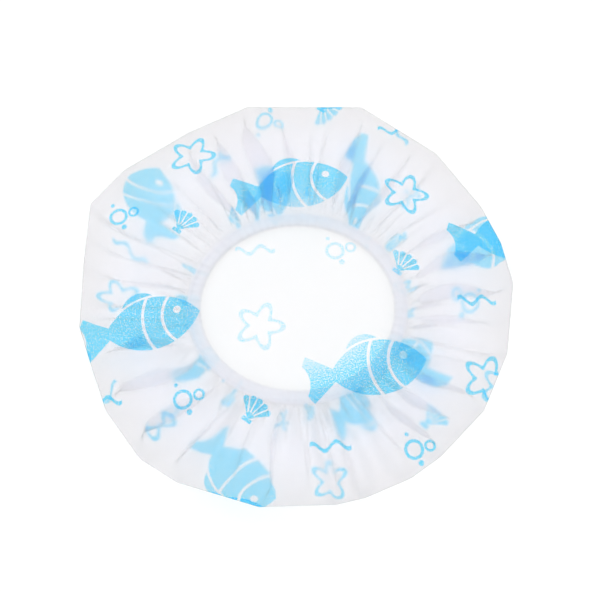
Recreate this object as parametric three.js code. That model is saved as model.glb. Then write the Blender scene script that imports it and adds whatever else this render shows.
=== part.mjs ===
// A soft film shower cap lying on its hem with the crown up.
// One round of printed film makes the crown and, past a pressed fold, the gathered brim under it.
// The film's edge is turned over a flat elastic and sealed, which draws the mouth in.
// Millimetres, +Z up, the table at z = 0, +X across the cap, the front towards -Y.
import * as THREE from "three";

// Film
const filmThickness = 0.15;
const foldRadius = 142;
const foldHeight = 25;
const crownHeight = 44;
const gatherAngle = 10;
const gatherDepth = 3.5;

// Corners of the pressed fold, anticlockwise from +X: bearing in degrees, and reach past foldRadius
// counted in steps of reachStep
const reachStep = 0.5;
const foldCorners = [
  [3, 2],
  [15, -1],
  [27, -4],
  [47.5, 0],
  [72.5, 13],
  [104, 8],
  [122, 2],
  [142.5, 17],
  [155, 27],
  [171, 5],
  [189.5, 5],
  [202, 1],
  [213.5, 8],
  [228.5, 14],
  [239.5, 10],
  [260.5, 4],
  [279.5, 1],
  [287, 1],
  [299.5, 1],
  [309, 0],
  [326, 2],
  [343, 0],
];

// Rings of the film: share of the way out on the crown, and of the way from the hem to the fold on
// the brim, where each ring also has its share of the gather depth
const crownRings = [0.45, 0.78];
const brimRings = [
  { out: 0.74, depth: 0.25 },
  { out: 0.4, depth: 0.65 },
  { out: 0.1, depth: 1 },
];

// Mouth, hem and elastic
const mouthHalfLength = 65.8;
const mouthHalfWidth = 60.1;
const hemWall = 0.5;
const hemChamfer = 0.4;
const hemSegments = 60;
const seamWidth = 1.5;
const elasticWidth = 4;
const elasticThickness = 0.6;
const clearance = 0.3;

// Join of the elastic's two ends, at the back of the cap
const joinBearing = 90;
const joinLength = 12;
const climbLength = 20;
const threadDiameter = 0.3;
const threadTurns = 5;
const threadSides = 6;
const threadStepsPerTurn = 16;

// The thread's loop is a superellipse of the fourth power, which clears a box this share of its size
const loopPower = 4;
const loopShare = 0.5 ** (1 / loopPower);

// Room inside the hem: the two ends of the elastic, one on the other, with the thread round both
const stackHeight = 2 * elasticThickness + clearance;
const loopHalfWidth = (elasticWidth / 2 + clearance + threadDiameter / 2) / loopShare;
const loopHalfHeight = (stackHeight / 2 + clearance + threadDiameter / 2) / loopShare;
const threadRoom = threadDiameter / 2 + clearance;
const tubeWidth = 2 * (loopHalfWidth + threadRoom + hemWall);
const tubeHeight = 2 * (loopHalfHeight + threadRoom + hemWall);
const hemWidth = tubeWidth + seamWidth;
const slitLow = tubeHeight / 2 - filmThickness / 2 - clearance;
const slitHigh = tubeHeight / 2 + filmThickness / 2 + clearance;

const radians = THREE.MathUtils.degToRad;
const mix = THREE.MathUtils.lerp;
const point = (x, y, z) => new THREE.Vector3(x, y, z);

// A closed skin over loops of points. Each loop has as many points as the next. The first and last
// loops are joined to each other, or each is closed by a fan round its tip. Every patch of four points
// creases along its higher diagonal, so that the two faces of a thin film crease alike.
function skin(loops, tips) {
  const count = loops[0].length;
  const corners = loops.flat();
  const faces = [];
  const bands = tips ? loops.length - 1 : loops.length;
  for (let band = 0; band < bands; band++) {
    const here = band * count;
    const next = ((band + 1) % loops.length) * count;
    for (let i = 0; i < count; i++) {
      const j = (i + 1) % count;
      const [a, b, c, d] = [here + i, next + i, next + j, here + j];
      const higher = corners[a].z + corners[c].z > corners[b].z + corners[d].z;
      faces.push(...(higher ? [a, b, c, a, c, d] : [a, b, d, b, c, d]));
    }
  }
  if (tips) {
    const first = corners.push(tips[0]) - 1;
    const last = corners.push(tips[1]) - 1;
    const lastLoop = (loops.length - 1) * count;
    for (let i = 0; i < count; i++) {
      const j = (i + 1) % count;
      faces.push(first, i, j);
      faces.push(last, lastLoop + j, lastLoop + i);
    }
  }
  return new THREE.BufferGeometry().setFromPoints(corners).setIndex(faces);
}

// A point on the oval that lies a distance outside the mouth's edge, by the oval's own angle
function ovalPoint(angle, outside, z) {
  const x = (mouthHalfLength + outside) * Math.cos(angle);
  const y = (mouthHalfWidth + outside) * Math.sin(angle);
  return point(x, y, z);
}

// The same oval's radius at a true bearing
function ovalRadius(bearing, outside) {
  const across = Math.cos(bearing) / (mouthHalfLength + outside);
  const along = Math.sin(bearing) / (mouthHalfWidth + outside);
  return 1 / Math.hypot(across, along);
}

// Spokes of the film: straight runs between the fold's corners, cut into an even number of steps, so
// that each corner has a gather standing out of the brim and a gather pressed in lies between
function filmSpokes() {
  const corners = foldCorners.map(([bearing, steps]) => {
    const radius = foldRadius + steps * reachStep;
    return point(radius * Math.cos(radians(bearing)), radius * Math.sin(radians(bearing)), 0);
  });
  const feet = corners.flatMap((corner, k) => {
    const nextCorner = corners[(k + 1) % corners.length];
    const width = THREE.MathUtils.radToDeg(corner.angleTo(nextCorner));
    const steps = 2 * Math.max(1, Math.round(width / gatherAngle));
    return Array.from({ length: steps }, (_, step) => corner.clone().lerp(nextCorner, step / steps));
  });
  return feet.map((foot, i) => ({
    bearing: Math.atan2(foot.y, foot.x),
    radius: foot.length(),
    lean: i % 2 ? 1 : -1,
    pitch: feet.at(i - 1).angleTo(feet[(i + 1) % feet.length]) / 2,
  }));
}

// Height of an upright slice through the film where it slopes along and across a spoke
const sliceHeight = (along, across) => filmThickness * Math.hypot(1, along, across);

// Outer and inner face of the film along one spoke, from the crown's top out to the fold and back
// under to the edge in the hem
function spokeProfile({ bearing, radius, lean, pitch }) {
  const seamHeight = tubeHeight / 2 - filmThickness / 2;
  const mouthRadius = ovalRadius(bearing, hemWidth + clearance);
  const edgeRadius = ovalRadius(bearing, hemWidth - seamWidth + clearance);
  const rise = crownHeight - foldHeight;
  const crown = crownRings.map((out) => ({
    r: out * radius,
    z: crownHeight - rise * out ** 2,
    slice: sliceHeight((2 * rise * out) / radius, 0),
  }));
  const brimSlope = (foldHeight - seamHeight) / (radius - mouthRadius);
  const brim = brimRings.map(({ out, depth }) => {
    const r = mix(mouthRadius, radius, out);
    const offset = lean * depth * gatherDepth;
    const z = mix(seamHeight, foldHeight, out) + offset;
    return { r, z, slice: sliceHeight(brimSlope, (2 * offset) / (r * pitch)) };
  });
  brim.push({ r: mouthRadius, z: seamHeight, slice: filmThickness });
  brim.push({ r: edgeRadius, z: seamHeight, slice: filmThickness });
  const crownEnd = crown.at(-1);
  const crownFall = (crownEnd.z - foldHeight) / (radius - crownEnd.r);
  const brimFall = (foldHeight - brim[0].z) / (radius - brim[0].r);
  const foldInset = (crownEnd.slice + brim[0].slice) / (crownFall + brimFall);
  const insetHeight = foldHeight + crownFall * foldInset - crownEnd.slice;
  const outer = [...crown, { r: radius, z: foldHeight }, ...brim];
  const inner = [
    ...crown.map(({ r, z, slice }) => ({ r, z: z - slice })),
    { r: radius - foldInset, z: insetHeight },
    ...brim.map(({ r, z, slice }) => ({ r, z: z + slice })),
  ];
  return [...outer, ...inner.reverse()].map(({ r, z }) => {
    return point(r * Math.cos(bearing), r * Math.sin(bearing), z);
  });
}

function printedFilm() {
  const profiles = filmSpokes().map(spokeProfile);
  const loops = profiles[0].map((_, ring) => profiles.map((profile) => profile[ring]));
  const tips = [point(0, 0, crownHeight), point(0, 0, crownHeight - filmThickness)];
  return skin(loops, tips);
}

// Section of the hem, outwards from the mouth's edge: a flat tube for the elastic and the sealed lips
// that take the film's edge between them
function hemCasing() {
  const tubeInside = tubeWidth - hemWall;
  const section = [
    [tubeWidth - hemChamfer, 0],
    [hemChamfer, 0],
    [0, hemChamfer],
    [0, tubeHeight - hemChamfer],
    [hemChamfer, tubeHeight],
    [tubeWidth - hemChamfer, tubeHeight],
    [tubeWidth, slitHigh + hemWall],
    [hemWidth, slitHigh + hemWall],
    [hemWidth, slitHigh],
    [tubeInside, slitHigh],
    [tubeInside, tubeHeight - hemWall],
    [hemWall, tubeHeight - hemWall],
    [hemWall, hemWall],
    [tubeInside, hemWall],
    [tubeInside, slitLow],
    [hemWidth, slitLow],
    [hemWidth, slitLow - hemWall],
    [tubeWidth, slitLow - hemWall],
  ];
  const turn = Array.from({ length: hemSegments }, (_, i) => (i / hemSegments) * 2 * Math.PI);
  return skin(section.map(([outside, z]) => turn.map((angle) => ovalPoint(angle, outside, z))));
}

// Where the elastic runs: once round inside the hem, its last end on top of its first
const elasticMiddle = tubeWidth / 2;
const joinAngle = radians(joinBearing);
const angleOf = (length) => length / (mouthHalfLength + elasticMiddle);
const elasticFloor = hemWall + clearance;
const joinFloor = tubeHeight / 2 - stackHeight / 2;

function elasticHeight(angle) {
  const start = joinAngle - angleOf(joinLength) / 2;
  const end = joinAngle + angleOf(joinLength) / 2;
  const down = THREE.MathUtils.smoothstep(angle, end, end + angleOf(climbLength));
  const toEnd = start + 2 * Math.PI;
  const up = THREE.MathUtils.smoothstep(angle, toEnd - angleOf(climbLength), toEnd);
  const firstEnd = mix(joinFloor, elasticFloor, down);
  return mix(firstEnd, joinFloor + elasticThickness + clearance, up);
}

function elasticBand() {
  const start = joinAngle - angleOf(joinLength) / 2;
  const turn = 2 * Math.PI + angleOf(joinLength);
  const steps = 2 * hemSegments;
  const inside = elasticMiddle - elasticWidth / 2;
  const outside = elasticMiddle + elasticWidth / 2;
  const loops = [];
  for (let step = 0; step <= steps; step++) {
    const angle = start + (step / steps) * turn;
    const low = elasticHeight(angle);
    const high = low + elasticThickness;
    loops.push([
      ovalPoint(angle, inside, low),
      ovalPoint(angle, outside, low),
      ovalPoint(angle, outside, high),
      ovalPoint(angle, inside, high),
    ]);
  }
  const middle = (loop) => loop[0].clone().lerp(loop[2], 0.5);
  return skin(loops, [middle(loops[0]), middle(loops.at(-1))]);
}

// The thread winds round both ends of the elastic along the join
class Whipping extends THREE.Curve {
  getPoint(share, target = new THREE.Vector3()) {
    const turn = share * threadTurns * 2 * Math.PI;
    const angle = joinAngle + (share - 0.5) * angleOf(joinLength - 2 * threadDiameter);
    const bend = (value) => Math.sign(value) * Math.abs(value) ** (2 / loopPower);
    const outside = elasticMiddle + loopHalfWidth * bend(Math.cos(turn));
    const z = tubeHeight / 2 + loopHalfHeight * bend(Math.sin(turn));
    return target.copy(ovalPoint(angle, outside, z));
  }
}

// Least gap between neighbouring turns of a tube, measured on points of its centre line
function leastTurnGap(curve, turns, pointsPerTurn, diameter) {
  const points = curve.getPoints(turns * pointsPerTurn);
  let least = Infinity;
  points.forEach((a, i) => {
    points.slice(i + pointsPerTurn / 2).forEach((b) => {
      least = Math.min(least, a.distanceTo(b));
    });
  });
  return least - diameter;
}

function joinThread() {
  const round = new THREE.Shape();
  const corner = (side) => (side / threadSides) * 2 * Math.PI;
  const corners = Array.from({ length: threadSides }, (_, side) => {
    return new THREE.Vector2(Math.cos(corner(side)), Math.sin(corner(side)));
  });
  round.setFromPoints(corners.map((at) => at.multiplyScalar(threadDiameter / 2)));
  const path = new Whipping();
  const gap = leastTurnGap(path, threadTurns, threadStepsPerTurn, threadDiameter);
  console.log("least gap between the thread's turns: " + gap.toFixed(2) + " mm");
  return new THREE.ExtrudeGeometry(round, {
    steps: threadTurns * threadStepsPerTurn,
    extrudePath: path,
    bevelEnabled: false,
  });
}

const frostedFilm = new THREE.MeshStandardMaterial({
  color: 0xdfeaf6,
  roughness: 0.45,
  metalness: 0,
  transparent: true,
  opacity: 0.6,
});
const gatheredHem = new THREE.MeshStandardMaterial({
  color: 0xdfe2f3,
  roughness: 0.5,
  metalness: 0,
  transparent: true,
  opacity: 0.8,
});
const whiteElastic = new THREE.MeshStandardMaterial({ color: 0xf2f2ef, roughness: 0.85, metalness: 0 });
const whiteThread = new THREE.MeshStandardMaterial({ color: 0xf7f7f5, roughness: 0.8, metalness: 0 });

function named(name, geometry, material) {
  const mesh = new THREE.Mesh(geometry, material);
  mesh.name = name;
  return mesh;
}

const cap = new THREE.Group();
cap.name = "shower_cap";
cap.add(
  named("printed_film", printedFilm(), frostedFilm),
  named("hem_casing", hemCasing(), gatheredHem),
  named("elastic_band", elasticBand(), whiteElastic),
  named("elastic_join_thread", joinThread(), whiteThread),
);

export default cap;
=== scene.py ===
import math

import bpy
import numpy as np
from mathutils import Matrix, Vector


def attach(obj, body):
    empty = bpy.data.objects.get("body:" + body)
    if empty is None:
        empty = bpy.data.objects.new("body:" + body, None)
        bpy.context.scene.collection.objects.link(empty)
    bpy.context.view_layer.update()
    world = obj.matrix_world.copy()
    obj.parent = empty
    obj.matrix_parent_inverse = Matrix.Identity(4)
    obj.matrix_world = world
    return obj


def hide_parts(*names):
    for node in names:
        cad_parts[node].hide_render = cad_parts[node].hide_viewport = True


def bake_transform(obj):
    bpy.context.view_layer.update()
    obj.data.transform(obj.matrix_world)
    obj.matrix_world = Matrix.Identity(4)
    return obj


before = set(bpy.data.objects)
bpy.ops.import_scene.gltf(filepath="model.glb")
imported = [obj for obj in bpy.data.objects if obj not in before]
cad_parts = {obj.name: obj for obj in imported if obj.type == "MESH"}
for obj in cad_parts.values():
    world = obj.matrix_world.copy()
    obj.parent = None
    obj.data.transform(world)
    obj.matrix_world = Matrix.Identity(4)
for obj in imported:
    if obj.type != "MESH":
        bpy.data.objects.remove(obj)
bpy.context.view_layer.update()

MM = 0.001
rng = np.random.default_rng(11)

# Film, with the same main sizes as its solid. The hem's widths count outwards from the mouth's edge
FILM_THICKNESS = 0.15
CROWN_HEIGHT = 44.0
FOLD_HEIGHT = 25.0
FOLD_ROUND = 0.9
SEAM_HEIGHT = 2.38
MOUTH_HALF_LENGTH = 65.8
MOUTH_HALF_WIDTH = 60.1
HEM_WIDTH = 9.2
FILM_EDGE = 8.0

# Bend of the fold, where it leaves the crown and where it meets the brim, and rounding of its corners
FOLD_TOP_TURN = math.radians(75)
FOLD_LOW_TURN = math.radians(-72)
CORNER_ROUNDINGS = 2

# Mesh of the film: columns to half a gather, and rows on its three stretches
COLUMNS_PER_STEP = 14
CROWN_ROWS = (0.04, 0.14, 0.27, 0.4, 0.52, 0.64, 0.74, 0.82, 0.88, 0.93, 0.97, 1.0)
FOLD_ROWS = 4
BRIM_ROWS = 30

# Brim's rows lie closer to each other at the hem, and the crown's tip lies nearly as low as its first row
BRIM_ROW_CLOSENESS = 1.5
TIP_SHARE = 0.9

# Slack of the crown: shallow waves, each with its length, bearing and start, which end short of the fold
CROWN_WAVES = ((70, 0.4, 0.3), (95, 1.9, 2.2), (58, 2.7, 4.0), (120, 5.1, 1.1))
CROWN_WAVE_HEIGHT = 0.3
CROWN_WAVE_END = 0.8

# Dents of the crown at the fold's corners, by share of the way from the crown's top to the fold
DENT_DEPTH = 1.1
DENT_START = 0.7
DENT_FULL = 0.93
DENT_END = 0.95
DENT_SHARPNESS = 8
CORNER_TURN = math.radians(9)

# Gathers: large ones that run to the fold, two smaller ones on each of them, and puckers at the hem.
# Their reaches and starts are shares of the way from the hem to the fold
GATHER_DEPTHS = (9.0, 4.5, 1.4)
GATHERS_EACH = (1, 2, 4)
GATHER_REACHES = (1.0, 0.85, 0.45)
GATHER_STARTS = (0.5, 0.18, 0.04)
GATHER_SHARPNESS = (1.8, 1.7, 1.8)

# Unevenness of the gathers: the range of their strengths, reaches and shifts
STRENGTH_RANGE = (0.55, 1.3)
REACH_RANGE = (0.7, 1.12)
SHIFT_RANGE = (-0.22, 0.22)

# Fading of the gathers, as powers: large ones on a straight run and at a corner of the fold, and small ones
LARGE_FADE = 1.1
LARGE_FADE_AT_CORNER = 0.55
SMALL_FADE = 1.2

# Gathers stand above the brim's slope at the hem and below it at the fold, by shares of their depth
STAND_AT_HEM = 0.5
SINK_TO_FOLD = 0.9

# Lean of the gathers: its waves round the cap, each with its size, number and start, and its rise outwards
GATHER_LEAN = 1.2
LEAN_WAVES = ((0.75, 2, 0.6), (0.6, 5, 2.0))
LEAN_AT_HEM = 0.4
LEAN_RISE = 2.3
LEAN_END = 0.75

# Lowest that the gathers hang: at the hem, and at the fold by share of the brim's height there
LOWEST_FILM = 0.5
LOWEST_AT_FOLD = 0.65
LOWEST_SOFTNESS = 0.5

# Length on the flat cut for each length across the cap
CROWN_ON_CUT = 1.012
BRIM_ON_CUT = 1.1

# Hem: a tube round the elastic with two lips that take the film's edge
HEM_WALL = 0.3
TUBE_MIDDLE = 3.87
TUBE_HALF_WIDTH = 3.6
TUBE_HALF_HEIGHT = 2.1
TUBE_ROUNDNESS = 0.75
TUBE_GAP_DEGREES = 22
TUBE_POINTS = 37
LIP_GAP = 0.55
LIP_ROOT = 0.3
LIP_POINTS = 4
LOWEST_HEM = 0.02
HEM_COLUMNS_PER_STEP = 6

# Puckers of the hem: slight below the first height, where it lies on the ground, and full above the second.
# They have little room inwards, where the elastic is
PUCKER_BELOW = 0.18
PUCKER_ABOVE = 0.5
PUCKER_HEIGHTS = (0.3, 3.5)
PUCKER_SHARPNESS = 0.8
PUCKER_ROOM = 0.15
FINE_PUCKER = 0.35

# Film's colours and frost by distance from the crown's top, on the flat cut
FILM_MIDDLE = (0.99, 0.984, 0.986)
FILM_CLEAR = (0.99, 0.984, 1.0)
FILM_CLOUDY = (0.984, 0.976, 1.0)
# Painted shade: the film's grey along the fold
FILM_FOLD_SHADE = (0.938, 0.932, 0.94)
FILM_INK = (0.16, 0.76, 1.0)
FILM_TRANSMISSION = 0.93
FINE_ROUGHNESS = 0.14
COARSE_ROUGHNESS = 0.265
FINE_FROST = 72.0
COARSE_FROST = 105.0
FOLD_ON_CUT = 146.0
# Width over which the painted shade along the fold fades out
FOLD_SHADE_WIDTH = 34.0
FILM_IOR = 1.45
HAZE_SCALE = 0.03
HAZE_DETAIL = 3.0

# Hem's colours: two layers of the same film round a white elastic
HEM_CLEAR = (0.98, 0.958, 1.0)
HEM_CLOUDY = (0.965, 0.942, 1.0)
HEM_INK = (0.85, 0.92, 1.0)
HEM_TRANSMISSION = 0.05
HEM_ROUGHNESS = 0.45

# Print: one tile of motifs, repeated in rows that are shifted by half a tile
TILE_WIDTH = 150.0
TILE_HEIGHT = 118.0
TILE_TURN = math.radians(-12)
TILE_START = (12, -8)
INK_EDGE = 0.25

# Ink: its grain, and painted backlight: how much paler it is in the middle of the crown, as if lit from
# below through the mouth
GRAIN_SCALE = 1.15
GRAIN_DETAIL = 1.0
GRAIN_CONTRAST = 3.7
GRAIN_START = 0.92
BACKLIGHT_FULL_UNTIL = 52.0
BACKLIGHT_GONE_FROM = 76.0
BACKLIT_INK_SHARE = 0.36


def smooth(low, high, value):
    """0 at low, 1 at high, and a smooth change between them."""
    share = np.clip((value - low) / (high - low), 0.0, 1.0)
    return share * share * (3.0 - 2.0 * share)


def mix(a, b, share):
    """The value a share of the way from a to b."""
    return a + (b - a) * share


def around(values, place, count):
    """Values at even places round the cap, read between those places."""
    index = np.arange(len(values) + 1) * (count / len(values))
    return np.interp(np.mod(place, count), index, np.append(values, values[:1]))


def oval_radius(bearing, outside):
    """Radius, at a bearing, of the oval that lies a distance outside the mouth's edge."""
    across = np.cos(bearing) / (MOUTH_HALF_LENGTH + outside)
    along = np.sin(bearing) / (MOUTH_HALF_WIDTH + outside)
    return 1.0 / np.hypot(across, along)


def ring(radius, bearing, height):
    """Points at a radius, bearing and height."""
    return np.stack([radius * np.cos(bearing), radius * np.sin(bearing), height], axis=-1)


def fold_feet():
    """Points of the solid film's fold in order of bearing. Every second one is a gather's crease."""
    tip_radius = 1.0
    spoke_turn = 0.001
    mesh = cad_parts["printed_film"].data
    points = np.array([vertex.co for vertex in mesh.vertices]) / MM
    points = points[np.hypot(points[:, 0], points[:, 1]) > tip_radius]
    bearings = np.mod(np.arctan2(points[:, 1], points[:, 0]), 2 * math.pi)
    order = np.argsort(bearings)
    breaks = np.flatnonzero(np.diff(bearings[order]) > spoke_turn) + 1
    feet = []
    for spoke in np.split(order, breaks):
        outermost = np.argmax(np.hypot(points[spoke, 0], points[spoke, 1]))
        feet.append(points[spoke[outermost], :2])
    return np.array(feet)


def corner_shares(feet):
    """How sharply the fold turns at each gather's crease: 0 on a straight run, 1 at a plain corner."""
    runs = np.roll(feet, -1, axis=0) - feet
    bearing = np.arctan2(runs[:, 1], runs[:, 0])
    turn = np.mod(bearing - np.roll(bearing, 1) + math.pi, 2 * math.pi) - math.pi
    return np.clip(np.abs(turn[::2]) / CORNER_TURN, 0.0, 1.0)


def gather_levels(gathers):
    """The levels of gathers, each with its own uneven strengths, reaches and shifts. The first level goes
    on to the fold whatever its reach."""
    levels = []
    for level, each in enumerate(GATHERS_EACH):
        number = gathers * each
        levels.append({
            "depth": GATHER_DEPTHS[level],
            "each": each,
            "start": GATHER_STARTS[level],
            "sharpness": GATHER_SHARPNESS[level],
            "strength": rng.uniform(*STRENGTH_RANGE, number),
            "reach": GATHER_REACHES[level] * rng.uniform(*REACH_RANGE, number),
            "shift": rng.uniform(*SHIFT_RANGE, number),
        })
    return levels


FEET = fold_feet()
GATHERS = len(FEET) // 2
CORNERS = corner_shares(FEET)
LEVELS = gather_levels(GATHERS)


def fold_outline(columns_per_step):
    """Bearing and radius of the fold at each column, with its corners slightly rounded."""
    columns = len(FEET) * columns_per_step
    steps = np.arange(columns) / columns_per_step
    outline = np.stack([around(FEET[:, axis], steps, len(FEET)) for axis in (0, 1)])
    for _ in range(CORNER_ROUNDINGS):
        outline = (np.roll(outline, 1, axis=1) + 2 * outline + np.roll(outline, -1, axis=1)) / 4
    bearing = np.unwrap(np.arctan2(outline[1], outline[0]))
    return bearing, np.hypot(outline[0], outline[1])


def gather_offset(place, out):
    """Height that the gathers add to the brim, by place in gathers and share of the way to the fold."""
    total = np.zeros(np.broadcast_shapes(place.shape, out.shape))
    for level in LEVELS:
        strength = around(level["strength"], place, GATHERS)
        shift = around(level["shift"], place, GATHERS)
        if level["each"] == 1:
            # A large gather is shifted most halfway along it and not at its ends
            shift = shift * 4 * out * (1 - out)
            fade = mix(LARGE_FADE, LARGE_FADE_AT_CORNER, around(CORNERS, place, GATHERS))
            ends = (1 - out) ** fade
        else:
            reach = around(level["reach"], place, GATHERS)
            ends = np.clip(1 - out / reach, 0.0, 1.0) ** SMALL_FADE
        crease = np.abs(np.sin(math.pi * (level["each"] * place + shift))) ** level["sharpness"]
        wave = 2.0 * crease - 1.0
        size = level["depth"] * strength * smooth(0.0, level["start"], out) * ends
        total += size * (wave + STAND_AT_HEM - SINK_TO_FOLD * out)
    return total


def gather_lean(place, out):
    """How far the gathers lean over, as a share of their height. Groups of them lean alike, more so further
    out, and none leans at the fold."""
    turn = 2 * math.pi * place / GATHERS
    side = sum(size * np.sin(number * turn + start) for size, number, start in LEAN_WAVES)
    return GATHER_LEAN * side * (LEAN_AT_HEM + LEAN_RISE * out) * smooth(1.0, LEAN_END, out)


def crown_waves(x, y):
    """Shallow waves of the slack crown."""
    total = np.zeros_like(x)
    for length, bearing, start in CROWN_WAVES:
        along = x * math.cos(bearing) + y * math.sin(bearing)
        total += CROWN_WAVE_HEIGHT * np.sin(2 * math.pi * along / length + start)
    return total


def crown_rows(bearing, place, fold_middle):
    """Radius, height and distance on the flat cut of the crown's rows."""
    share = np.array(CROWN_ROWS)[:, None]
    low = FOLD_HEIGHT + FOLD_ROUND * math.sin(FOLD_TOP_TURN)
    radius = share * (fold_middle + FOLD_ROUND * math.cos(FOLD_TOP_TURN))
    waves = crown_waves(radius * np.cos(bearing), radius * np.sin(bearing))
    slack = smooth(1.0, CROWN_WAVE_END, share) * waves
    crease = around(CORNERS * LEVELS[0]["strength"], place, GATHERS)
    crease = crease * np.abs(np.cos(math.pi * place)) ** DENT_SHARPNESS
    dent = DENT_DEPTH * smooth(DENT_START, DENT_FULL, share) * smooth(1.0, DENT_END, share) * crease
    height = mix(CROWN_HEIGHT, low, share**2) + slack - dent
    return radius, height, CROWN_ON_CUT * radius


def fold_rows(fold_middle, cut_before):
    """Radius, height and distance on the flat cut of the rows round the fold."""
    bend = np.linspace(FOLD_TOP_TURN, FOLD_LOW_TURN, FOLD_ROWS + 2)[1:-1, None]
    radius = fold_middle + FOLD_ROUND * np.cos(bend)
    height = FOLD_HEIGHT + FOLD_ROUND * np.sin(bend) + np.zeros_like(radius)
    return radius, height, cut_before + FOLD_ROUND * (FOLD_TOP_TURN - bend)


def brim_rows(bearing, place, fold_middle, cut_before):
    """Radius, height, distance on the flat cut and leaning bearing of the brim's rows."""
    out = np.linspace(1.0, 0.0, BRIM_ROWS)[:, None] ** BRIM_ROW_CLOSENESS
    hem = oval_radius(bearing, HEM_WIDTH)
    end = fold_middle + FOLD_ROUND * math.cos(FOLD_LOW_TURN)
    high = FOLD_HEIGHT + FOLD_ROUND * math.sin(FOLD_LOW_TURN)
    radius = mix(hem, end, out)
    rise = gather_offset(place, out)
    turn = bearing + gather_lean(place, out) * rise / radius
    lowest = mix(LOWEST_FILM, LOWEST_AT_FOLD * high, out)
    above = mix(SEAM_HEIGHT, high, out) + rise - lowest
    height = lowest + np.logaddexp(0.0, above / LOWEST_SOFTNESS) * LOWEST_SOFTNESS
    return radius, height, cut_before + BRIM_ON_CUT * (1 - out) * (end - hem), turn


def even_turn(points, bearing, first_row):
    """Bearing on the flat cut: the film of each gather is spread evenly along that gather's length."""
    ends = np.append(bearing, bearing[0] + 2 * math.pi)
    turn = np.repeat(bearing[None, :], len(points), axis=0)
    lengths = np.linalg.norm(np.roll(points, -1, axis=1) - points, axis=2)
    wide = 2 * COLUMNS_PER_STEP
    for gather in range(GATHERS):
        span = slice(gather * wide, (gather + 1) * wide)
        along = np.cumsum(lengths[first_row:, span], axis=1)
        share = np.hstack([np.zeros((len(along), 1)), along[:, :-1]]) / along[:, -1:]
        turn[first_row:, span] = mix(ends[span.start], ends[span.stop], share)
    return turn


def film_surface():
    """Middle surface of the film from the crown's top to its edge in the hem, and its place on the cut."""
    bearing, fold = fold_outline(COLUMNS_PER_STEP)
    place = np.arange(len(bearing)) / (2 * COLUMNS_PER_STEP)
    fold_middle = fold - FOLD_ROUND
    crown_r, crown_z, crown_cut = crown_rows(bearing, place, fold_middle)
    fold_r, fold_z, fold_cut = fold_rows(fold_middle, crown_cut[-1])
    brim_r, brim_z, brim_cut, brim_turn = brim_rows(bearing, place, fold_middle, fold_cut[-1])
    edge_r = oval_radius(bearing, FILM_EDGE)[None, :]
    edge_z = np.full_like(edge_r, SEAM_HEIGHT)
    edge_cut = brim_cut[-1:] + HEM_WIDTH - FILM_EDGE

    radius = np.vstack([crown_r, fold_r, brim_r, edge_r])
    height = np.vstack([crown_z, fold_z, brim_z, edge_z])
    on_cut = np.vstack([crown_cut, fold_cut, brim_cut, edge_cut])
    turn = np.repeat(bearing[None, :], len(radius), axis=0)
    turn[-BRIM_ROWS - 1 : -1] = brim_turn
    points = ring(radius, turn, height)
    turn_on_cut = even_turn(points, bearing, len(CROWN_ROWS))
    return points, ring(on_cut, turn_on_cut, 0 * on_cut)


def normals(points):
    """Unit normals of a grid of points whose columns go round the cap, outwards from the crown."""
    across = np.roll(points, -1, axis=1) - np.roll(points, 1, axis=1)
    down = np.gradient(points, axis=0)
    normal = np.cross(down, across)
    return normal / np.linalg.norm(normal, axis=2, keepdims=True)


def skin(name, loops, cuts, tips=None):
    """A closed mesh over loops of points, which go out on one face of a film and back on the other. The last
    loop joins the first, or each is closed round its tip."""
    rows, columns, _ = loops.shape
    index = np.arange(rows * columns).reshape(rows, columns)
    bands = index if tips is None else index[:-1]
    below = np.roll(index, -1, axis=0)[: len(bands)]
    quads = np.stack([bands, below, np.roll(below, -1, axis=1), np.roll(bands, -1, axis=1)], axis=-1)
    # On the way back each patch starts one corner later, so that both faces crease along the same diagonals
    quads[rows // 2 :] = np.roll(quads[rows // 2 :], -1, axis=-1)
    faces = quads.reshape(-1, 4).tolist()
    points = loops.reshape(-1, 3)
    places = cuts.reshape(-1, 3)
    if tips is not None:
        first = len(points)
        points = np.vstack([points, tips])
        places = np.vstack([places, np.zeros((2, 3))])
        for i in range(columns):
            j = (i + 1) % columns
            faces.append((first, int(index[0, i]), int(index[0, j])))
            faces.append((first + 1, int(index[-1, j]), int(index[-1, i])))
    mesh = bpy.data.meshes.new(name)
    mesh.from_pydata((points * MM).tolist(), [], faces)
    flat = mesh.attributes.new("flat_cut", "FLOAT_VECTOR", "POINT")
    flat.data.foreach_set("vector", places.astype(np.float32).ravel())
    mesh.polygons.foreach_set("use_smooth", np.ones(len(mesh.polygons), dtype=bool))
    mesh.update()
    piece = bpy.data.objects.new(name, mesh)
    bpy.context.scene.collection.objects.link(piece)
    return piece


def make_film():
    """The film as a closed thin shell, and its place on the flat cut."""
    points, cut = film_surface()
    offset = normals(points) * FILM_THICKNESS / 2
    loops = np.vstack([points + offset, (points - offset)[::-1]])
    top = mix(CROWN_HEIGHT, float(points[0, :, 2].mean()), TIP_SHARE)
    tips = np.array([[0, 0, top + FILM_THICKNESS / 2], [0, 0, top - FILM_THICKNESS / 2]])
    return skin("gathered_film", loops, np.vstack([cut, cut[::-1]]), tips), cut


def fuller(value):
    """A sine or cosine that makes an oval with fuller corners than a plain one."""
    return np.sign(value) * np.abs(value) ** TUBE_ROUNDNESS


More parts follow.
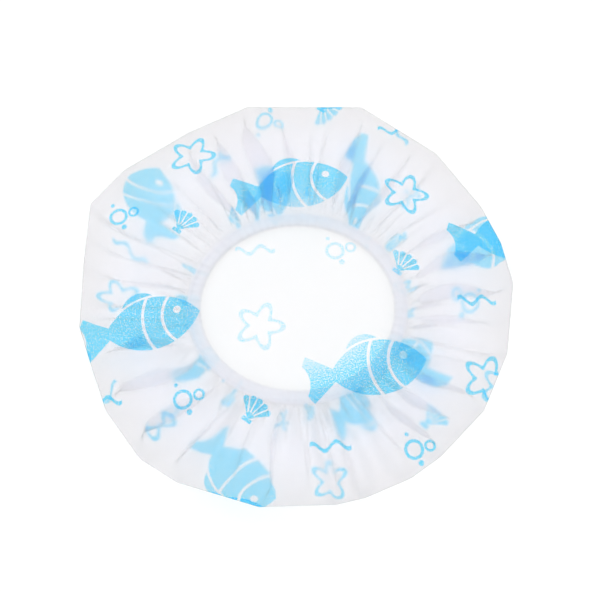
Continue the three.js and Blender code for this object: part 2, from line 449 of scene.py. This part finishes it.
def hem_section():
    """Middle line of the hem's wall, from its upper lip round the tube to its lower lip, and how far
    it puckers at each point."""
    tube_end = TUBE_MIDDLE + TUBE_HALF_WIDTH
    lip = np.linspace(HEM_WIDTH, tube_end + LIP_ROOT, LIP_POINTS)
    around_tube = np.radians(np.linspace(TUBE_GAP_DEGREES, 360 - TUBE_GAP_DEGREES, TUBE_POINTS))
    tube_out = TUBE_MIDDLE + TUBE_HALF_WIDTH * fuller(np.cos(around_tube))
    tube_up = SEAM_HEIGHT + TUBE_HALF_HEIGHT * fuller(np.sin(around_tube))
    upper_lip = np.full(LIP_POINTS, SEAM_HEIGHT + LIP_GAP)
    lower_lip = np.full(LIP_POINTS, SEAM_HEIGHT - LIP_GAP)
    out = np.concatenate([lip, tube_out, lip[::-1]])
    up = np.concatenate([upper_lip, tube_up, lower_lip])
    pucker = mix(PUCKER_BELOW, PUCKER_ABOVE, smooth(*PUCKER_HEIGHTS, up))
    return np.stack([out, up], axis=-1), smooth(HEM_WIDTH, tube_end, out) * pucker


def hem_wave(place):
    """Puckers of the hem, two to a gather with finer ones on them. Above zero they go outwards."""
    _, coarse, fine = GATHERS_EACH
    strength = around(LEVELS[1]["strength"], place, GATHERS)
    shift = around(LEVELS[1]["shift"], place, GATHERS)
    crease = np.abs(np.sin(math.pi * (coarse * place + shift))) ** PUCKER_SHARPNESS
    return strength * (1.0 - 2.0 * crease) + FINE_PUCKER * np.cos(2 * math.pi * fine * place)


def make_hem(edge_flat):
    """The puckered hem, whose flat cut goes on from the film's edge."""
    section, pucker = hem_section()
    line = np.gradient(section, axis=0)
    side = np.stack([line[:, 1], -line[:, 0]], axis=-1)
    side /= np.linalg.norm(side, axis=1, keepdims=True)
    length = np.concatenate([[0.0], np.cumsum(np.linalg.norm(np.diff(section, axis=0), axis=1))])
    bearing, _ = fold_outline(HEM_COLUMNS_PER_STEP)
    wave = hem_wave(np.arange(len(bearing)) / (2 * HEM_COLUMNS_PER_STEP))
    walls = [(row, HEM_WALL / 2) for row in range(len(section))]
    walls += [(row, -HEM_WALL / 2) for row in reversed(range(len(section)))]
    loops = []
    cuts = []
    for row, wall in walls:
        push = wall + np.maximum(pucker[row] * wave, -PUCKER_ROOM)
        radius = oval_radius(bearing, section[row, 0] + side[row, 0] * push)
        height = np.maximum(section[row, 1] + side[row, 1] * push, LOWEST_HEM + HEM_WALL / 2 - wall)
        loops.append(ring(radius, bearing, height))
        cuts.append(ring(edge_flat + length[row], bearing, 0 * bearing))
    return skin("puckered_hem", np.array(loops), np.array(cuts))


class Number:
    """A number at each point of a surface, as an output of a material's nodes."""

    def __init__(self, tree, socket):
        self.tree = tree
        self.socket = socket

    def math(self, operation, *others):
        node = self.tree.nodes.new("ShaderNodeMath")
        node.operation = operation
        for slot, value in enumerate((self, *others)):
            if isinstance(value, Number):
                self.tree.links.new(value.socket, node.inputs[slot])
            else:
                node.inputs[slot].default_value = value
        return Number(self.tree, node.outputs[0])

    def __add__(self, other):
        return self.math("ADD", other)

    def __sub__(self, other):
        return self.math("SUBTRACT", other)

    def __rsub__(self, value):
        return -self + value

    def __mul__(self, other):
        return self.math("MULTIPLY", other)

    def __neg__(self):
        return self * -1.0

    def __abs__(self):
        return self.math("ABSOLUTE")

    def least(self, other):
        return self.math("MINIMUM", other)

    def most(self, other):
        return self.math("MAXIMUM", other)

    def clamped(self):
        """The same number, kept between 0 and 1."""
        self.socket.node.use_clamp = True
        return self

    def between(self, low, high):
        """0 up to low, 1 from high on, and an even rise between them."""
        return ((self - low) * (1 / (high - low))).clamped()


class Place:
    """A point of a pattern, as an output of a material's nodes."""

    def __init__(self, tree, socket):
        self.tree = tree
        self.socket = socket

    def vector(self, operation, value):
        node = self.tree.nodes.new("ShaderNodeVectorMath")
        node.operation = operation
        self.tree.links.new(self.socket, node.inputs[0])
        node.inputs[1].default_value = value
        return node

    def from_point(self, x, y, turn=0.0):
        """The same place as seen from a motif at (x, y) that is turned by an angle."""
        moved = Place(self.tree, self.vector("SUBTRACT", (x, y, 0)).outputs["Vector"])
        if not turn:
            return moved
        node = self.tree.nodes.new("ShaderNodeVectorRotate")
        node.rotation_type = "Z_AXIS"
        node.inputs["Angle"].default_value = -turn
        self.tree.links.new(moved.socket, node.inputs["Vector"])
        return Place(self.tree, node.outputs["Vector"])

    def away(self, x, y):
        """Distance from a point."""
        return Number(self.tree, self.vector("DISTANCE", (x, y, 0)).outputs["Value"])

    def mirrored(self):
        return Place(self.tree, self.vector("ABSOLUTE", (0, 0, 0)).outputs["Vector"])

    def xy(self):
        node = self.tree.nodes.new("ShaderNodeSeparateXYZ")
        self.tree.links.new(self.socket, node.inputs[0])
        return Number(self.tree, node.outputs["X"]), Number(self.tree, node.outputs["Y"])

    def noise(self, scale, detail):
        node = self.tree.nodes.new("ShaderNodeTexNoise")
        node.inputs["Scale"].default_value = scale
        node.inputs["Detail"].default_value = detail
        self.tree.links.new(self.socket, node.inputs["Vector"])
        return Number(self.tree, node.outputs["Fac"])


# Motifs of the print and their parts: each gives the distance outside its ink, below zero on the ink


def dot(at, x, y, radius):
    """A full round."""
    return at.away(x, y) - radius


def circle(at, x, y, radius, half_line):
    """A round line."""
    return abs(at.away(x, y) - radius) - half_line


def fish(at):
    x, y = at.xy()
    half_length = 32.0
    half_height = 18.0
    nose = (29, 0)
    tail_root = 23.0
    tail_spread = 0.7
    fin_gap = 1.5
    bow = (half_length**2 + half_height**2) / (2 * half_height)
    body = dot(at.mirrored(), 0, half_height - bow, bow)
    fin = dot(at, -6, 10, 13.0).most(fin_gap - body)
    stripes = circle(at, *nose, 22.0, 1.0).least(circle(at, *nose, 35.0, 1.0))
    eye = dot(at, 17.5, 5, 2.6)
    body = body.most(-stripes.least(eye))
    notch = dot(at, -61, 0, 16.0)
    tail = (abs(y) + (x + tail_root) * tail_spread).most(-notch)
    tail = tail.most(dot(at, -25, 0, 25.0))
    return body.least(fin).least(tail)


def starfish(at):
    x, y = at.xy()
    arms = 5.0
    middle_radius = 11.5
    arm_height = 3.6
    steepness = 0.75
    half_line = 1.2
    turn = y.math("ARCTAN2", x)
    outline = (turn * arms).math("COSINE") * arm_height + middle_radius
    return abs(at.away(0, 0) - outline) * steepness - half_line


def shell(at):
    x, y = at.xy()
    hinge_drop = 7.0
    hinge_middle = 7.6
    hinge_half_width = 3.4
    hinge_half_height = 1.3
    ribs = 9.0
    half_spread = 0.87
    fan_radius = 13.6
    lobe_height = 1.6
    side_steepness = 10.0
    gap_width = 0.45
    gap_start = 4.5
    from_hinge = at.away(0, -hinge_drop)
    turn = x.math("ARCTAN2", y + hinge_drop)
    lobes = abs((turn * ribs).math("COSINE"))
    sides = (abs(turn) - half_spread) * side_steepness
    fan = (from_hinge - (lobes * lobe_height + fan_radius)).most(sides)
    gaps = (lobes * from_hinge * (1 / ribs) - gap_width).most(gap_start - from_hinge)
    hinge = (abs(x) - hinge_half_width).most(abs(y + hinge_middle) - hinge_half_height)
    return fan.most(-gaps).least(hinge)


def bubbles(at):
    large = circle(at, 0, 0, 5.4, 1.0)
    small = circle(at, 9.5, 5, 3.0, 0.8)
    drops = dot(at, 6, -7, 1.8).least(dot(at, -6.5, 8, 1.3))
    return large.least(small).least(drops)


def ripple(at):
    x, y = at.xy()
    half_length = 13.0
    wave_height = 2.6
    wave_rate = 0.42
    steepness = 0.75
    half_line = 1.0
    line = abs(y - (x * wave_rate).math("SINE") * wave_height) * steepness - half_line
    return line.most(abs(x) - half_length)


# Each motif's place from the middle of the tile, to the right and upwards, and its turn in degrees
MOTIFS = (
    (fish, -26, 20, 24),
    (starfish, 44, 30, 10),
    (shell, 52, -24, -25),
    (bubbles, 6, -26, 0),
    (ripple, -46, -36, 18),
)


def print_amount(on_cut):
    """How much ink shows on the film: none at 0, full at 1, and paler in the crown's middle as painted
    backlight.
    """
    tree = on_cut.tree
    x, y = on_cut.from_point(*TILE_START, TILE_TURN).xy()
    row = (y * (1 / TILE_HEIGHT)).math("FLOOR")
    across = (x + row * (TILE_WIDTH / 2)).math("WRAP", TILE_WIDTH / 2, -TILE_WIDTH / 2)
    along = y.math("WRAP", TILE_HEIGHT, 0.0) - TILE_HEIGHT / 2
    join = tree.nodes.new("ShaderNodeCombineXYZ")
    tree.links.new(across.socket, join.inputs["X"])
    tree.links.new(along.socket, join.inputs["Y"])
    tile = Place(tree, join.outputs["Vector"])
    outside = [motif(tile.from_point(right, up, math.radians(turn))) for motif, right, up, turn in MOTIFS]
    nearest = outside[0]
    for other in outside[1:]:
        nearest = nearest.least(other)
    solid = nearest.math("MULTIPLY_ADD", -1 / INK_EDGE, 0.5).clamped()
    grain = on_cut.noise(GRAIN_SCALE, GRAIN_DETAIL) * GRAIN_CONTRAST - GRAIN_START
    # Painted backlight: the ink is paler in the middle of the crown, above the mouth
    full = on_cut.away(0, 0).between(BACKLIGHT_FULL_UNTIL, BACKLIGHT_GONE_FROM)
    return solid * grain * (full * (1 - BACKLIT_INK_SHARE) + BACKLIT_INK_SHARE)


def new_material(name):
    material = bpy.data.materials.new(name)
    material.use_nodes = True
    tree = material.node_tree
    return material, tree, tree.nodes["Principled BSDF"]


def place_on_cut(tree):
    """The place on the flat cut that each point of the film comes from, in millimetres."""
    node = tree.nodes.new("ShaderNodeAttribute")
    node.attribute_name = "flat_cut"
    return Place(tree, node.outputs["Vector"])


def place_on_piece(tree):
    """The place on a solid piece, in metres."""
    node = tree.nodes.new("ShaderNodeTexCoord")
    return Place(tree, node.outputs["Object"])


def colour_between(amount, first, second):
    """A colour mixed by an amount, from two colours that are fixed or come from other nodes."""
    first_colour_slot = 6
    mixed_colour_slot = 2
    tree = amount.tree
    node = tree.nodes.new("ShaderNodeMix")
    node.data_type = "RGBA"
    tree.links.new(amount.socket, node.inputs["Factor"])
    for slot, colour in enumerate((first, second), first_colour_slot):
        if isinstance(colour, tuple):
            node.inputs[slot].default_value = (*colour, 1.0)
        else:
            tree.links.new(colour, node.inputs[slot])
    return node.outputs[mixed_colour_slot]


def film_material():
    """Frosted film with ink in it. It has painted shade along the fold, greyer there, and in the middle of
    the crown it is neutral and its frost is finer."""
    material, tree, shader = new_material("frosted_film")
    on_cut = place_on_cut(tree)
    from_top = on_cut.away(0, 0)
    frost = from_top.between(FINE_FROST, COARSE_FROST)
    # Painted shade along the fold, strongest on the fold's line on the cut
    fold_shade = (abs(from_top - FOLD_ON_CUT) * (-1 / FOLD_SHADE_WIDTH) + 1.0).clamped()
    film = colour_between(on_cut.noise(HAZE_SCALE, HAZE_DETAIL), FILM_CLEAR, FILM_CLOUDY)
    film = colour_between(frost, FILM_MIDDLE, film)
    film = colour_between(fold_shade, film, FILM_FOLD_SHADE)
    roughness = frost * (COARSE_ROUGHNESS - FINE_ROUGHNESS) + FINE_ROUGHNESS
    tree.links.new(colour_between(print_amount(on_cut), film, FILM_INK), shader.inputs["Base Color"])
    tree.links.new(roughness.socket, shader.inputs["Roughness"])
    shader.inputs["Transmission Weight"].default_value = FILM_TRANSMISSION
    shader.inputs["IOR"].default_value = FILM_IOR
    return material


def hem_material():
    """Two layers of the same film round the elastic, which make it nearly opaque and its ink pale."""
    material, tree, shader = new_material("gathered_hem_film")
    on_cut = place_on_cut(tree)
    film = colour_between(on_cut.noise(HAZE_SCALE, HAZE_DETAIL), HEM_CLEAR, HEM_CLOUDY)
    tree.links.new(colour_between(print_amount(on_cut), film, HEM_INK), shader.inputs["Base Color"])
    shader.inputs["Roughness"].default_value = HEM_ROUGHNESS
    shader.inputs["Transmission Weight"].default_value = HEM_TRANSMISSION
    shader.inputs["IOR"].default_value = FILM_IOR
    return material


def elastic_material():
    """White elastic with a fine uneven knit."""
    material, tree, shader = new_material("ribbed_elastic")
    knit = place_on_piece(tree).noise(scale=900.0, detail=2.0)
    colour = colour_between(knit, (0.86, 0.86, 0.86), (0.95, 0.95, 0.95))
    tree.links.new(colour, shader.inputs["Base Color"])
    shader.inputs["Roughness"].default_value = 0.85
    bump = tree.nodes.new("ShaderNodeBump")
    bump.inputs["Strength"].default_value = 0.5
    bump.inputs["Distance"].default_value = 0.0002
    tree.links.new(knit.socket, bump.inputs["Height"])
    tree.links.new(bump.outputs["Normal"], shader.inputs["Normal"])
    return material


def thread_material():
    """White thread with fine uneven fibres."""
    material, tree, shader = new_material("twisted_thread")
    fibre = place_on_piece(tree).noise(scale=2500.0, detail=1.0)
    colour = colour_between(fibre, (0.74, 0.74, 0.73), (0.9, 0.9, 0.9))
    tree.links.new(colour, shader.inputs["Base Color"])
    shader.inputs["Roughness"].default_value = 0.7
    return material


def seen_white(tree):
    """1 where a camera, glossy or transmission ray looks, so that the ground reads white there."""
    path = tree.nodes.new("ShaderNodeLightPath")
    seen = Number(tree, path.outputs["Is Camera Ray"])
    seen = seen.most(Number(tree, path.outputs["Is Glossy Ray"]))
    return seen.most(Number(tree, path.outputs["Is Transmission Ray"]))


def make_floor():
    """A pale floor just below the hem. What it lacks to white where it is seen, it gives off by itself."""
    side = 6.0
    height = -0.0002
    grey = 0.4
    glow = 0.65
    mesh = bpy.data.meshes.new("floor")
    corners = [(-side, -side), (side, -side), (side, side), (-side, side)]
    mesh.from_pydata([(x, y, height) for x, y in corners], [], [(0, 1, 2, 3)])
    floor = bpy.data.objects.new("floor", mesh)
    bpy.context.scene.collection.objects.link(floor)
    material, tree, shader = new_material("white_floor")
    shader.inputs["Base Color"].default_value = (grey, grey, grey, 1.0)
    shader.inputs["Roughness"].default_value = 1.0
    shader.inputs["Specular IOR Level"].default_value = 0.0
    shader.inputs["Emission Color"].default_value = (1.0, 1.0, 1.0, 1.0)
    tree.links.new((seen_white(tree) * glow).socket, shader.inputs["Emission Strength"])
    mesh.materials.append(material)


def make_light():
    """Even white light from all round, with a weak soft lamp from the front left."""
    world = bpy.data.worlds.new("studio")
    world.use_nodes = True
    bpy.context.scene.world = world
    background = world.node_tree.nodes["Background"]
    background.inputs["Color"].default_value = (1.0, 1.0, 1.0, 1.0)
    background.inputs["Strength"].default_value = 1.02
    key = bpy.data.lights.new("key", "AREA")
    key.shape = "DISK"
    key.size = 1.2
    key.energy = 2.0
    lamp = bpy.data.objects.new("key", key)
    bpy.context.scene.collection.objects.link(lamp)
    lamp.location = (-1.1, -0.8, 1.0)
    lamp.rotation_euler = (-lamp.location).to_track_quat("-Z", "Y").to_euler()


def make_camera():
    """The photograph's view: from the front and steeply down, at the height of the fold."""
    target = Vector((-1.06, -1.79, FOLD_HEIGHT)) * MM
    elevation = math.radians(68)
    distance = 0.787
    camera = bpy.data.cameras.new("camera")
    camera.lens = 72.5
    camera.sensor_width = 36.0
    viewer = bpy.data.objects.new("camera", camera)
    bpy.context.scene.collection.objects.link(viewer)
    viewer.location = target + Vector((0, -math.cos(elevation), math.sin(elevation))) * distance
    viewer.rotation_euler = (target - viewer.location).to_track_quat("-Z", "Y").to_euler()
    bpy.context.scene.camera = viewer


bpy.context.scene.view_settings.view_transform = "Standard"

# Light passes through many layers of film, so it may bounce often and isn't blurred on its way
bpy.context.scene.cycles.max_bounces = 32
bpy.context.scene.cycles.transmission_bounces = 32
bpy.context.scene.cycles.glossy_bounces = 16
bpy.context.scene.cycles.blur_glossy = 0.0

make_camera()
make_light()
make_floor()

film, film_cut = make_film()
edge_flat = np.linalg.norm(film_cut[-1], axis=1).mean()
hem = make_hem(edge_flat)
film.data.materials.append(film_material())
hem.data.materials.append(hem_material())
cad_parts["elastic_band"].material_slots[0].material = elastic_material()
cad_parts["elastic_join_thread"].material_slots[0].material = thread_material()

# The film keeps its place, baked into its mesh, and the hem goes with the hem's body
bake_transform(film)
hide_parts("printed_film")
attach(hem, "hem")
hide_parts("hem_casing")
